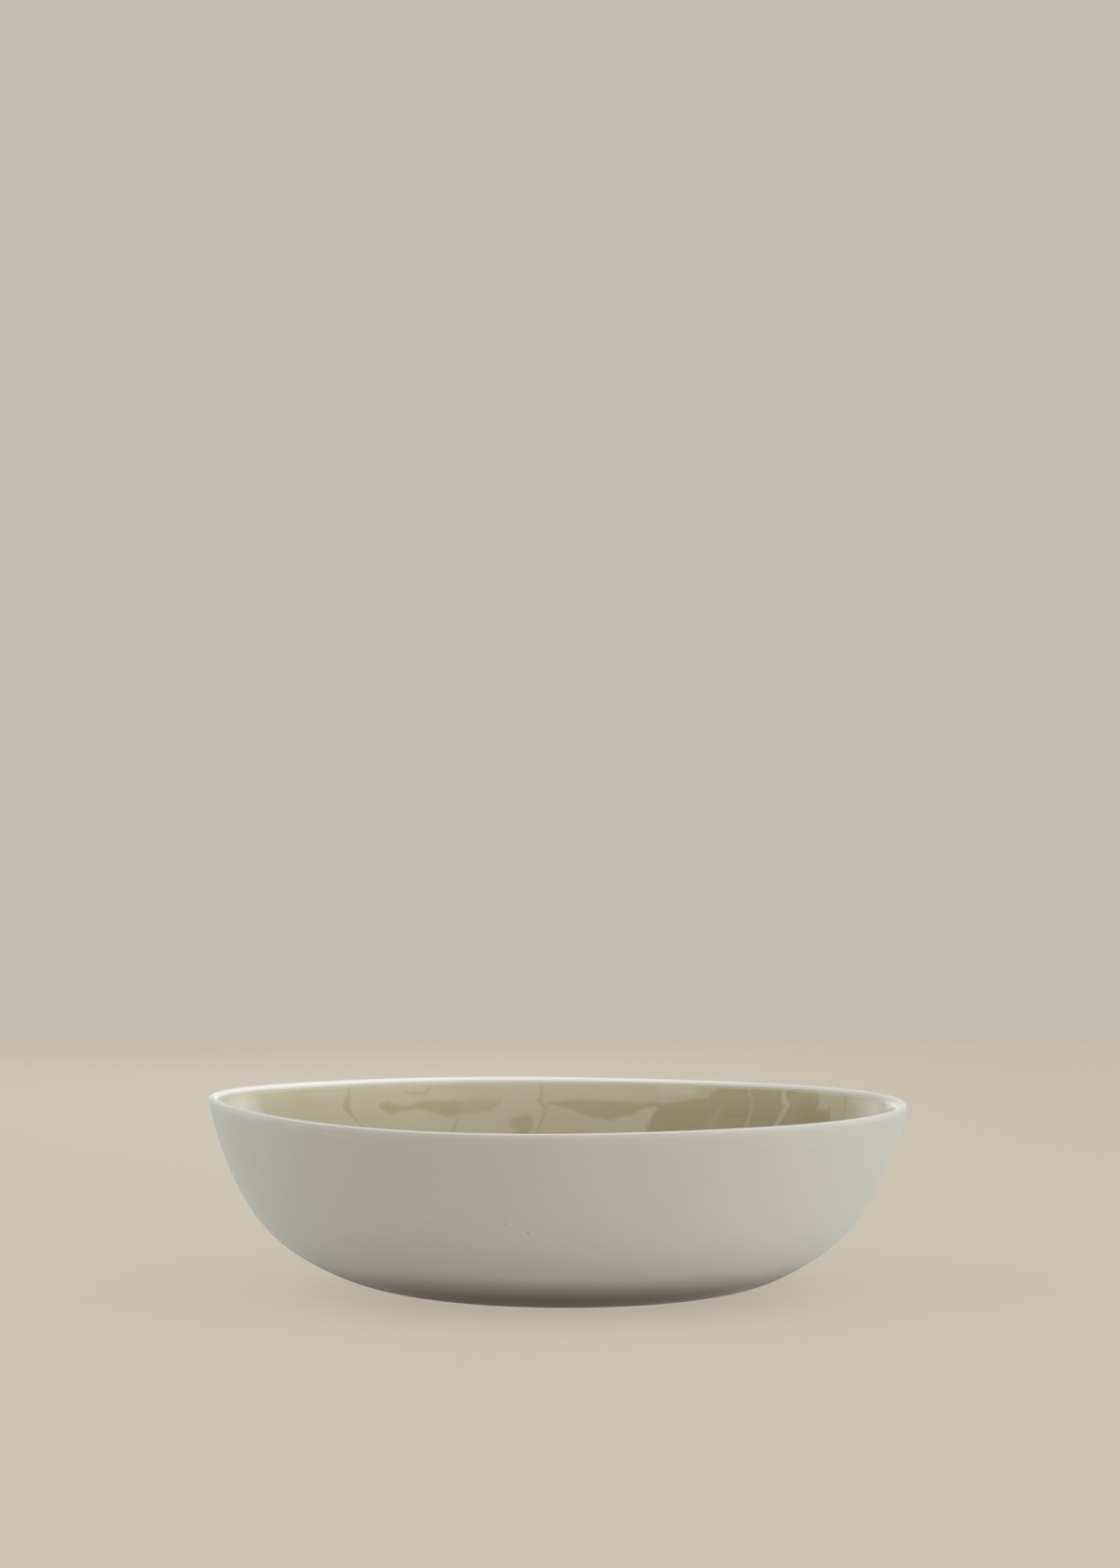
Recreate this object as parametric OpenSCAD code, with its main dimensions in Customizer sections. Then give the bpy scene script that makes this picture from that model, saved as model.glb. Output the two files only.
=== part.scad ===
// Low serving bowl, made by hand in tinted clay and glazed on the inside only.
// Lengths are in millimetres. Z is up and the table is at z = 0.
// The origin lies on the table, under the middle of the lip.
// +X is the bowl's right side, -Y is its front.

/* [Bowl] */
// Diameter across the lip
bowl_d = 220; // [180:1:280]
// Height of the lip above the table, averaged around the bowl
bowl_h = 60; // [52:1:80]

/* [Wall] */
// Thickness of the floor in the middle, from the table to the clay under the glaze
floor_t = 4.6; // [4:0.1:7]
// Thickness of the wall at the heel, where the underside turns up
heel_t = 3.4; // [2.6:0.1:4.5]
// Thickness of the wall at the lip
lip_t = 2.8; // [2:0.1:4]

/* [Outline] */
// Slope of the underside where it leaves the foot, in degrees
foot_slope = 3.4; // [1:0.1:8]
// Slope of the wall at the heel, in degrees
heel_slope = 31.5; // [27:0.5:38]
// Slope of the wall at the lip, in degrees
lip_slope = 76.5; // [70:0.5:84]

/* [Foot] */
// Diameter of the flat foot
foot_d = 78; // [66:1:96]
// Width of the ring that the bowl stands on
foot_ring_w = 6; // [4:0.5:10]
// Depth of the turned recess inside the ring
foot_recess = 1.4; // [0.8:0.1:2]
// Slant of the recess's side, measured along the foot
foot_recess_slant = 1.2; // [0.5:0.1:2.5]
// How far the foot sits to the right of the middle of the lip
foot_shift = 3.2; // [0:0.1:5]

/* [Handmade lip] */
// How much the lip rises towards its high side and falls on the other
lip_tilt = 1; // [0:0.05:2]
// Bearing of the high side, in degrees round from the right
lip_tilt_bearing = 162; // [0:1:359]
// How much the lip sags at the front and the back and rises at the sides
lip_sag = 0.85; // [0:0.05:2]
// Height of the small ripples that the hand leaves around the lip
lip_ripple = 0.25; // [0:0.05:0.6]

/* [Glaze] */
// Thickness of the fired glaze
glaze_t = 0.4; // [0.2:0.05:0.8]
// Length over which the glaze thins out below its upper edge
glaze_taper = 2; // [1:0.1:4]
// Clay left bare between the rounding of the lip and the glaze
bare_lip = 0.5; // [0.2:0.1:2]

/* [Hidden] */

// Colours of the fired pieces
CLAY_COLOUR = [0.70, 0.69, 0.64];
GLAZE_COLOUR = [0.63, 0.60, 0.46];

// Fineness: sides around the bowl, and steps along each stretch of the outline
AROUND = 72;
UNDERSIDE_STEPS = 7;
WALL_STEPS = 9;
LIP_STEPS = 6;
FLOOR_STEPS = 8;
RECESS_SIDES = 96;

// Overrun of a cut past the face that it opens
CUT_OVERRUN = 1;

// Place of the heel, as shares of the way from the foot's edge out to the lip and up
HEEL_OUT_SHARE = 0.606;
HEEL_UP_SHARE = 0.203;

// Reach of each curve's two handles, as shares of the straight line between its ends
UNDERSIDE_SHARES = [0.45, 0.38];
WALL_SHARES = [0.34, 0.34];
FLOOR_SHARES = [0.50, 0.28];

// How fast the lip's waves fade down the wall, and the foot's shift fades up it
WAVE_POWER = 2;
SHIFT_POWER = 8;

// Waves of the lip: how many go around, how high each is, and the bearing of a crest
LIP_WAVES = [
    [1, lip_tilt, lip_tilt_bearing],
    [2, lip_sag, -2],
    [3, lip_ripple, 68],
    [4, lip_ripple, 16]
];

// Radii of the lip's rounding, of the foot and of the recess at its mouth
lip_round = lip_t / 2;
foot_r = foot_d / 2;
recess_r = foot_r - foot_ring_w;

// Direction of a line that climbs outwards at a slope, and the direction square to it
// that points into the bowl
function climb(slope) = [cos(slope), sin(slope)];
function inward(slope) = [-sin(slope), cos(slope)];

// Points of the outline, each as [distance from the axis, height]
foot_edge = [foot_r, 0];
lip_outer = [bowl_d / 2 - lip_round * (1 - sin(lip_slope)),
             bowl_h - lip_round * (1 + cos(lip_slope))];
lip_centre = lip_outer + lip_round * inward(lip_slope);
lip_inner = lip_outer + lip_t * inward(lip_slope);
heel_outer = [foot_r + HEEL_OUT_SHARE * (bowl_d / 2 - foot_r), HEEL_UP_SHARE * bowl_h];
heel_inner = heel_outer + heel_t * inward(heel_slope);
glaze_top = lip_inner - bare_lip * climb(lip_slope);
glaze_full = glaze_top - glaze_taper * climb(lip_slope);
floor_middle = [0, floor_t];

// Points along a curve from a to b that leaves a and reaches b at the given slopes
function curve(a, a_slope, b, b_slope, shares, steps) =
    let (
        span = norm(b - a),
        a_handle = a + shares[0] * span * climb(a_slope),
        b_handle = b - shares[1] * span * climb(b_slope)
    )
    [for (i = [0 : steps])
        let (t = i / steps, s = 1 - t)
        s * s * s * a + 3 * s * s * t * a_handle + 3 * s * t * t * b_handle + t * t * t * b];

// Outline without its first or its last point, and the outline run backwards
function without_first(points) = [for (i = [1 : len(points) - 1]) points[i]];
function without_last(points) = [for (i = [0 : len(points) - 2]) points[i]];
function backwards(points) = [for (i = [len(points) - 1 : -1 : 0]) points[i]];

// Underside and outer wall, from the foot's edge up to the lip's rounding
outside = concat(
    curve(foot_edge, foot_slope, heel_outer, heel_slope, UNDERSIDE_SHARES, UNDERSIDE_STEPS),
    without_first(
        curve(heel_outer, heel_slope, lip_outer, lip_slope, WALL_SHARES, WALL_STEPS))
);

// Half round over the lip, from the outer wall to the inner wall
lip_crown = [for (i = [1 : LIP_STEPS])
    lip_centre - lip_round * inward(lip_slope + 180 * i / LIP_STEPS)];

// Clay under the glaze, from the middle of the floor up to the glaze's upper edge
under_glaze = concat(
    curve(floor_middle, 0, heel_inner, heel_slope, FLOOR_SHARES, FLOOR_STEPS),
    without_first(
        curve(heel_inner, heel_slope, glaze_full, lip_slope, WALL_SHARES, WALL_STEPS)),
    [glaze_top]
);

// Direction of an outline at one of its points, from its neighbours
function heading(points, i) =
    let (step = points[min(i + 1, len(points) - 1)] - points[max(i - 1, 0)])
    step / norm(step);

// Shiny face of the glaze, from the middle of the floor up to where it starts to thin out
glaze_face = [for (i = [0 : len(under_glaze) - 2])
    let (along = i == 0 ? [1, 0] : heading(under_glaze, i))
    under_glaze[i] + glaze_t * [-along[1], along[0]]];

// Whole outline of each piece, from the axis out and back to the axis
clay_outline = concat([[0, 0]], outside, lip_crown, backwards(under_glaze));
glaze_outline = concat(under_glaze, backwards(glaze_face));

// Height that the waves add at a bearing, and the sideways shift at a height
function lip_wave(bearing) =
    let (parts = [for (w = LIP_WAVES) w[1] * cos(w[0] * (bearing - w[2]))])
    parts * [for (w = LIP_WAVES) 1];
function wave_fade(height) = pow(max(height, 0) / bowl_h, WAVE_POWER);
function shift_at(height) = foot_shift * pow(max(1 - height / bowl_h, 0), SHIFT_POWER);

// Place in space of an outline point carried round to a bearing
function place(point, bearing) = [
    shift_at(point[1]) + point[0] * cos(bearing),
    point[0] * sin(bearing),
    point[1] + (point[0] > 0 ? wave_fade(point[1]) * lip_wave(bearing) : 0)
];

// Solid swept by an outline that starts and ends on the axis. The diagonals lean the
// same way on a wall whichever way its outline runs, so two pieces meet face to face.
module hand_turned(outline) {
    rings = len(outline) - 2;
    last = rings * AROUND + 1;
    function corner(ring, k) = 1 + (ring - 1) * AROUND + k % AROUND;
    points = concat(
        [place(outline[0], 0)],
        [for (i = [1 : rings]) for (k = [0 : AROUND - 1]) place(outline[i], 360 * k / AROUND)],
        [place(outline[rings + 1], 0)]
    );
    bottom = [for (k = [0 : AROUND - 1]) [0, corner(1, k), corner(1, k + 1)]];
    walls = [for (i = [1 : rings - 1]) for (k = [0 : AROUND - 1])
        let (
            a = corner(i, k),
            b = corner(i + 1, k),
            c = corner(i + 1, k + 1),
            d = corner(i, k + 1),
            outwards = outline[i + 1][0] >= outline[i][0]
        )
        each outwards ? [[a, b, c], [a, c, d]] : [[a, b, d], [b, c, d]]];
    top = [for (k = [0 : AROUND - 1]) [corner(rings, k), last, corner(rings, k + 1)]];
    polyhedron(points = points, faces = concat(bottom, walls, top), convexity = 6);
}

// Turned recess that leaves the foot ring standing
module recess_cut() {
    slope = foot_recess_slant / foot_recess;
    mouth_r = recess_r + CUT_OVERRUN * slope;
    translate([foot_shift, 0, -CUT_OVERRUN])
        cylinder(
            h = CUT_OVERRUN + foot_recess,
            r1 = mouth_r,
            r2 = recess_r - foot_recess_slant,
            $fn = RECESS_SIDES
        );
}

// Fired clay: foot, underside, wall and bare lip
module clay_body() {
    color(CLAY_COLOUR)
        difference() {
            hand_turned(clay_outline);
            recess_cut();
        }
}

// Glossy glaze over the whole inside, up to just below the lip
module inner_glaze() {
    color(GLAZE_COLOUR)
        hand_turned(glaze_outline);
}

clay_body();
inner_glaze();
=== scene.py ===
"""Looks of a low handmade bowl: matte tinted clay outside, glossy olive glaze inside."""

import logging
import math
import random
from dataclasses import dataclass, field
from enum import Enum
from typing import Any

import bmesh
import bpy
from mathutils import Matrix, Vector, noise


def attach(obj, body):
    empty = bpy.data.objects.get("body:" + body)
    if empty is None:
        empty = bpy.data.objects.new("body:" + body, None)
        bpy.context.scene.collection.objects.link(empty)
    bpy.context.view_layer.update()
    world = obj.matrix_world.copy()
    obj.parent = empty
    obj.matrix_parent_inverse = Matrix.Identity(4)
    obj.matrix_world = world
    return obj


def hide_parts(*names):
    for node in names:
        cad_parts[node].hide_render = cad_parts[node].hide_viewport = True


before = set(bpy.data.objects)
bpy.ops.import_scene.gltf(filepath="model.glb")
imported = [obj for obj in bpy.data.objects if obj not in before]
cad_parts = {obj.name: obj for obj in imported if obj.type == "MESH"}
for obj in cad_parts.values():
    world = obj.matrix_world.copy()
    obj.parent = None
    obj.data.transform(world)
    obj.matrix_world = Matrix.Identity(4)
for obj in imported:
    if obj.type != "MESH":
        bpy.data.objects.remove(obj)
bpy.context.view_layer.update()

log = logging.getLogger("bowl")

MM = 0.001
Point = tuple[float, float]
Triple = tuple[float, float, float]
Colour = tuple[float, float, float, float]
Material = bpy.types.Material
Node = bpy.types.Node
Socket = bpy.types.NodeSocket

# Curve of a screen's colours: straight up to the knee, then a power
SCREEN_WHITE = 255
SCREEN_KNEE = 0.04045
SCREEN_SLOPE = 12.92
SCREEN_OFFSET = 0.055
SCREEN_POWER = 2.4

# Sockets of the node that blends two colours, by number because their names repeat
MIX_SHARE, MIX_FIRST, MIX_SECOND, MIX_RESULT = 0, 6, 7, 2

# Middle of a noise's colours, and the gain that brings x * (1 - x) up to 1 in its middle
NOISE_MIDDLE = (0.5, 0.5, 0.5)
CREST_GAIN = 4.0


def srgb(red: int, green: int, blue: int) -> Colour:
    """Turn a colour as it is seen on a screen into the linear colour that a shader takes.

    Args:
        red: Red from 0 to 255.
        green: Green from 0 to 255.
        blue: Blue from 0 to 255.

    Returns:
        The linear colour with full alpha.
    """
    linear = []
    for channel in (red, green, blue):
        share = channel / SCREEN_WHITE
        curved = ((share + SCREEN_OFFSET) / (1 + SCREEN_OFFSET)) ** SCREEN_POWER
        linear.append(share / SCREEN_SLOPE if share <= SCREEN_KNEE else curved)
    return (*linear, 1.0)


def ease(value: float, start: float, end: float) -> float:
    """Rise smoothly from 0 where a value is at the start to 1 where it is at the end."""
    share = min(max((value - start) / (end - start), 0.0), 1.0)
    return share * share * (3 - 2 * share)


def bearing_of(spot: Vector) -> float:
    """Give the bearing of a spot, in radians round from the right."""
    return math.atan2(spot.y, spot.x)


def outwards_from_axis(spot: Vector) -> Vector:
    """Give the level direction from the axis out to a spot."""
    return Vector((spot.x, spot.y, 0.0)).normalized()


# The form of the bowl


@dataclass(frozen=True)
class Wave:
    """One wave that the hand left around the lip.

    Args:
        count: How many crests go around.
        height: Height of a crest over the mean, in metres.
        bearing: Bearing of a crest, in degrees round from the right.
    """

    count: int
    height: float
    bearing: float

    def at(self, bearing: float) -> float:
        """Give the wave's height at a bearing in radians."""
        return self.height * math.cos(self.count * (bearing - math.radians(self.bearing)))


@dataclass(frozen=True)
class BowlForm:
    """Outline and handmade unevenness of the bowl, with the sizes of the solid model.

    Lengths are in metres and slopes in degrees from level.
    """

    lip_diameter: float = 0.220
    height: float = 0.060
    floor_thickness: float = 0.0046
    heel_thickness: float = 0.0034
    lip_thickness: float = 0.0028
    foot_slope: float = 3.4
    heel_slope: float = 31.5
    lip_slope: float = 76.5
    foot_diameter: float = 0.078
    foot_ring_width: float = 0.006
    foot_recess: float = 0.0014
    foot_recess_slant: float = 0.0012
    foot_shift: float = 0.0032
    glaze_thickness: float = 0.0004
    glaze_taper: float = 0.002
    bare_lip: float = 0.0005
    heel_out_share: float = 0.606
    heel_up_share: float = 0.203
    underside_shares: Point = (0.45, 0.38)
    wall_shares: Point = (0.34, 0.34)
    floor_shares: Point = (0.50, 0.28)
    wave_power: float = 2.0
    shift_power: float = 8.0
    waves: tuple[Wave, ...] = (
        Wave(1, 1.0 * MM, 162),
        Wave(2, 0.85 * MM, -2),
        Wave(3, 0.25 * MM, 68),
        Wave(4, 0.25 * MM, 16),
    )

    @staticmethod
    def climb(slope: float) -> Vector:
        """Give the direction that climbs outwards at a slope."""
        return Vector((math.cos(math.radians(slope)), math.sin(math.radians(slope))))

    @staticmethod
    def inward(slope: float) -> Vector:
        """Give the direction square to a slope that points into the bowl."""
        return Vector((-math.sin(math.radians(slope)), math.cos(math.radians(slope))))

    @property
    def lip_round(self) -> float:
        """Radius of the rounding over the lip."""
        return self.lip_thickness / 2

    @property
    def foot_radius(self) -> float:
        """Outer radius of the foot ring."""
        return self.foot_diameter / 2

    @property
    def lip_outer(self) -> Vector:
        """Point where the outer wall meets the rounding of the lip."""
        slope = math.radians(self.lip_slope)
        return Vector((
            self.lip_diameter / 2 - self.lip_round * (1 - math.sin(slope)),
            self.height - self.lip_round * (1 + math.cos(slope)),
        ))

    @property
    def lip_inner(self) -> Vector:
        """Point where the rounding of the lip meets the inner wall."""
        return self.lip_outer + self.lip_thickness * self.inward(self.lip_slope)

    @property
    def heel_outer(self) -> Vector:
        """Point of the outer outline where the underside turns up into the wall."""
        reach = self.lip_diameter / 2 - self.foot_radius
        return Vector((
            self.foot_radius + self.heel_out_share * reach,
            self.heel_up_share * self.height,
        ))

    @property
    def heel_inner(self) -> Vector:
        """Point of the inner outline across the wall from the outer heel."""
        return self.heel_outer + self.heel_thickness * self.inward(self.heel_slope)

    def curve(
        self, start: Vector, start_slope: float, end: Vector, end_slope: float,
        shares: Point, steps: int,
    ) -> list[Vector]:
        """Draw a curve between two points that leaves and arrives at given slopes.

        Args:
            start: First point.
            start_slope: Slope at the first point, in degrees.
            end: Last point.
            end_slope: Slope at the last point, in degrees.
            shares: Reach of the two handles, as shares of the straight distance.
            steps: Number of steps along the curve.

        Returns:
            The points of the curve, both ends included.
        """
        span = (end - start).length
        first_handle = start + shares[0] * span * self.climb(start_slope)
        last_handle = end - shares[1] * span * self.climb(end_slope)
        points = []
        for step in range(steps + 1):
            t = step / steps
            s = 1 - t
            near = s ** 3 * start + 3 * s * s * t * first_handle
            far = 3 * s * t * t * last_handle + t ** 3 * end
            points.append(near + far)
        return points

    def outside(self, steps: int) -> list[Vector]:
        """Draw the underside and the outer wall, from the foot's edge up to the lip.

        Args:
            steps: Steps along each of the two stretches.

        Returns:
            The points of the outline.
        """
        foot_edge = Vector((self.foot_radius, 0.0))
        underside = self.curve(
            foot_edge, self.foot_slope, self.heel_outer, self.heel_slope,
            self.underside_shares, steps,
        )
        wall = self.curve(
            self.heel_outer, self.heel_slope, self.lip_outer, self.lip_slope,
            self.wall_shares, steps,
        )
        return underside + wall[1:]

    @property
    def glaze_edge(self) -> Vector:
        """Point of the inner wall where the glaze ends, below the bare lip."""
        return self.lip_inner - self.bare_lip * self.climb(self.lip_slope)

    def under_glaze(self, steps: int) -> list[Vector]:
        """Draw the clay's inner face, from the middle of the floor up to the glaze's edge.

        Args:
            steps: Steps along each of the two curved stretches.

        Returns:
            The points of the outline, whose last stretch is straight.
        """
        middle = Vector((0.0, self.floor_thickness))
        full = self.glaze_edge - self.glaze_taper * self.climb(self.lip_slope)
        floor = self.curve(
            middle, 0.0, self.heel_inner, self.heel_slope, self.floor_shares, steps
        )
        wall = self.curve(
            self.heel_inner, self.heel_slope, full, self.lip_slope, self.wall_shares, steps
        )
        return floor + wall[1:] + [self.glaze_edge]

    def lip_wave(self, bearing: float) -> float:
        """Give the height that the lip's waves add at a bearing in radians."""
        return sum(wave.at(bearing) for wave in self.waves)

    def place(self, point: Vector) -> Vector:
        """Move a point of the true turned form to its place on the handmade bowl.

        Args:
            point: Point of the turned form.

        Returns:
            The same point with the lip's waves and the foot's shift.
        """
        rise = max(point.z, 0.0) / self.height
        lift = rise ** self.wave_power * self.lip_wave(bearing_of(point))
        shift = self.foot_shift * max(1 - rise, 0.0) ** self.shift_power
        return Vector((point.x + shift, point.y, point.z + lift))


@dataclass
class TurnedPiece:
    """One piece of the bowl, swept round the axis from an outline.

    Args:
        name: Name of the piece in the scene.
        node: CAD node that the piece stands for.
        slot: Material slot of the record.
        form: Outline of the whole bowl.
        sides: Number of sides around the axis.
        stretch_steps: Steps along each curved stretch of the outline.
        merge_gap: Gap under which two points become one, in metres.
        sharp_turn: Turn between two faces, in degrees, past which their edge is sharp.
    """

    name: str
    node: str
    slot: str
    form: BowlForm = field(default_factory=BowlForm)
    sides: int = 320
    stretch_steps: int = 44
    merge_gap: float = 1e-6
    sharp_turn: float = 60

    def sweep(self, outline: list[Vector], tones: dict[str, list[float]]) -> bmesh.types.BMesh:
        """Spin an outline round the axis into a closed shell.

        Args:
            outline: Points from the axis out and back to the axis.
            tones: Vertex attributes by name, with a share from 0 to 1 for each point.

        Returns:
            The mesh, closed, with its faces pointing outwards.
        """
        bm = bmesh.new()
        layers = {name: bm.verts.layers.float.new(name) for name in tones}
        verts = [bm.verts.new((point.x, 0.0, point.y)) for point in outline]
        for name, shares in tones.items():
            for vert, share in zip(verts, shares):
                vert[layers[name]] = share
        edges = [bm.edges.new(pair) for pair in zip(verts, verts[1:])]
        bmesh.ops.spin(
            bm, geom=verts + edges, cent=(0, 0, 0), axis=(0, 0, 1), dvec=(0, 0, 0),
            angle=math.tau, steps=self.sides, use_merge=True, use_duplicate=False,
        )
        bmesh.ops.remove_doubles(bm, verts=bm.verts, dist=self.merge_gap)
        bmesh.ops.recalc_face_normals(bm, faces=bm.faces)
        return bm

    def finish(self, bm: bmesh.types.BMesh, material: Material) -> bpy.types.Object:
        """Turn the mesh into a dressed object that rides on the bowl's body.

        Args:
            bm: The finished mesh, which is freed.
            material: The piece's material.

        Returns:
            The new object, which stands for its CAD node.
        """
        bm.normal_update()
        for face in bm.faces:
            face.smooth = True
        for edge in bm.edges:
            edge.smooth = edge.calc_face_angle(0.0) < math.radians(self.sharp_turn)
        mesh = bpy.data.meshes.new(self.name)
        bm.to_mesh(mesh)
        bm.free()
        mesh.materials.append(material)
        piece = bpy.data.objects.new(self.name, mesh)
        bpy.context.scene.collection.objects.link(piece)
        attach(piece, "root")
        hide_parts(self.node)
        log.info("%s: %d faces, stands for %s", self.name, len(mesh.polygons), self.node)
        return piece


# Node trees


@dataclass
class Sheet:
    """Short hand for laying out one node tree."""

    tree: bpy.types.NodeTree

    def add(self, kind: str, inputs: dict[Any, Any] | None = None, **settings: Any) -> Node:
        """Add a node.

        Args:
            kind: Blender's name for the node's type.
            inputs: Value or output socket for each input, by name or number.
            **settings: Properties of the node.

        Returns:
            The new node.
        """
        node = self.tree.nodes.new(kind)
        for key, value in settings.items():
            setattr(node, key, value)
        self.feed(node, inputs or {})
        return node

    def feed(self, node: Node, inputs: dict[Any, Any]) -> None:
        """Link the output sockets given to a node's inputs, and set the other inputs' values.

        Args:
            node: The node.
            inputs: Value or output socket for each input, by name or number.
        """
        for key, value in inputs.items():
            if isinstance(value, Socket):
                self.tree.links.new(value, node.inputs[key])
            else:
                node.inputs[key].default_value = value

    def math(self, operation: str, *values: Any) -> Socket:
        """Work out a number from one, two or three numbers or output sockets."""
        return self.add("ShaderNodeMath", dict(enumerate(values)), operation=operation).outputs[0]

    def vector(self, operation: str, *values: Any) -> Node:
        """Add a vector math node with the given operation and inputs."""
        return self.add("ShaderNodeVectorMath", dict(enumerate(values)), operation=operation)

    def scale(self, vector: Any, factor: Any) -> Socket:
        """Multiply a vector or a colour by a number."""
        inputs = {0: vector, "Scale": factor}
        return self.add("ShaderNodeVectorMath", inputs, operation="SCALE").outputs[0]

    def span(self, value: Any, start: Any, end: Any, low: Any = 0.0, high: Any = 1.0) -> Socket:
        """Map a value smoothly from one span to another.

        Args:
            value: Value or output socket.
            start: Value that gives low.
            end: Value that gives high.
            low: Result at the start.
            high: Result at the end.

        Returns:
            The result's socket.
        """
        node = self.add(
            "ShaderNodeMapRange",
            {"Value": value, "From Min": start, "From Max": end, "To Min": low, "To Max": high},
            interpolation_type="SMOOTHSTEP", clamp=False,
        )
        return node.outputs["Result"]

    def mix(self, share: Any, first: Any, second: Any) -> Socket:
        """Blend two colours by the share of the second."""
        inputs = {MIX_SHARE: share, MIX_FIRST: first, MIX_SECOND: second}
        return self.add("ShaderNodeMix", inputs, data_type="RGBA").outputs[MIX_RESULT]

    def bump(self, height: Any, depth: float) -> Socket:
        """Tilt the surface like a relief of the given depth, in metres."""
        inputs = {"Height": height, "Distance": depth, "Strength": 1.0}
        return self.add("ShaderNodeBump", inputs).outputs[0]

    def attribute(self, name: str) -> Socket:
        """Read one of the piece's own vertex attributes."""
        return self.add("ShaderNodeAttribute", attribute_name=name).outputs["Fac"]

    def noise(
        self, where: Socket, size: float, detail: float = 2.0, output: str = "Factor"
    ) -> Socket:
        """Add smooth noise with features of the given size, in metres."""
        inputs = {"Vector": where, "Scale": 1 / size, "Detail": detail}
        return self.add("ShaderNodeTexNoise", inputs).outputs[0 if output == "Factor" else 1]


def new_material(name: str) -> tuple[Material, Sheet, Node]:
    """Start a material with an empty surface.

    Args:
        name: Name of the material.

    Returns:
        The material, its sheet and its surface shader.
    """
    material = bpy.data.materials.new(name)
    material.use_nodes = True
    tree = material.node_tree
    tree.nodes.clear()
    sheet = Sheet(tree)
    shader = sheet.add("ShaderNodeBsdfPrincipled")
    sheet.add("ShaderNodeOutputMaterial", {"Surface": shader.outputs[0]})
    return material, sheet, shader


# Finishes


@dataclass(frozen=True)
class Speck:
    """Grains of another colour that lie sparsely in the clay.

    Args:
        colour: Colour of a grain.
        spacing: Mean distance between grains inside the clay, in metres.
        radius: Largest radius of a grain at the surface, in metres.
        strength: How fully a grain covers the clay.
    """

    colour: Colour
    spacing: float
    radius: float
    strength: float


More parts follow.
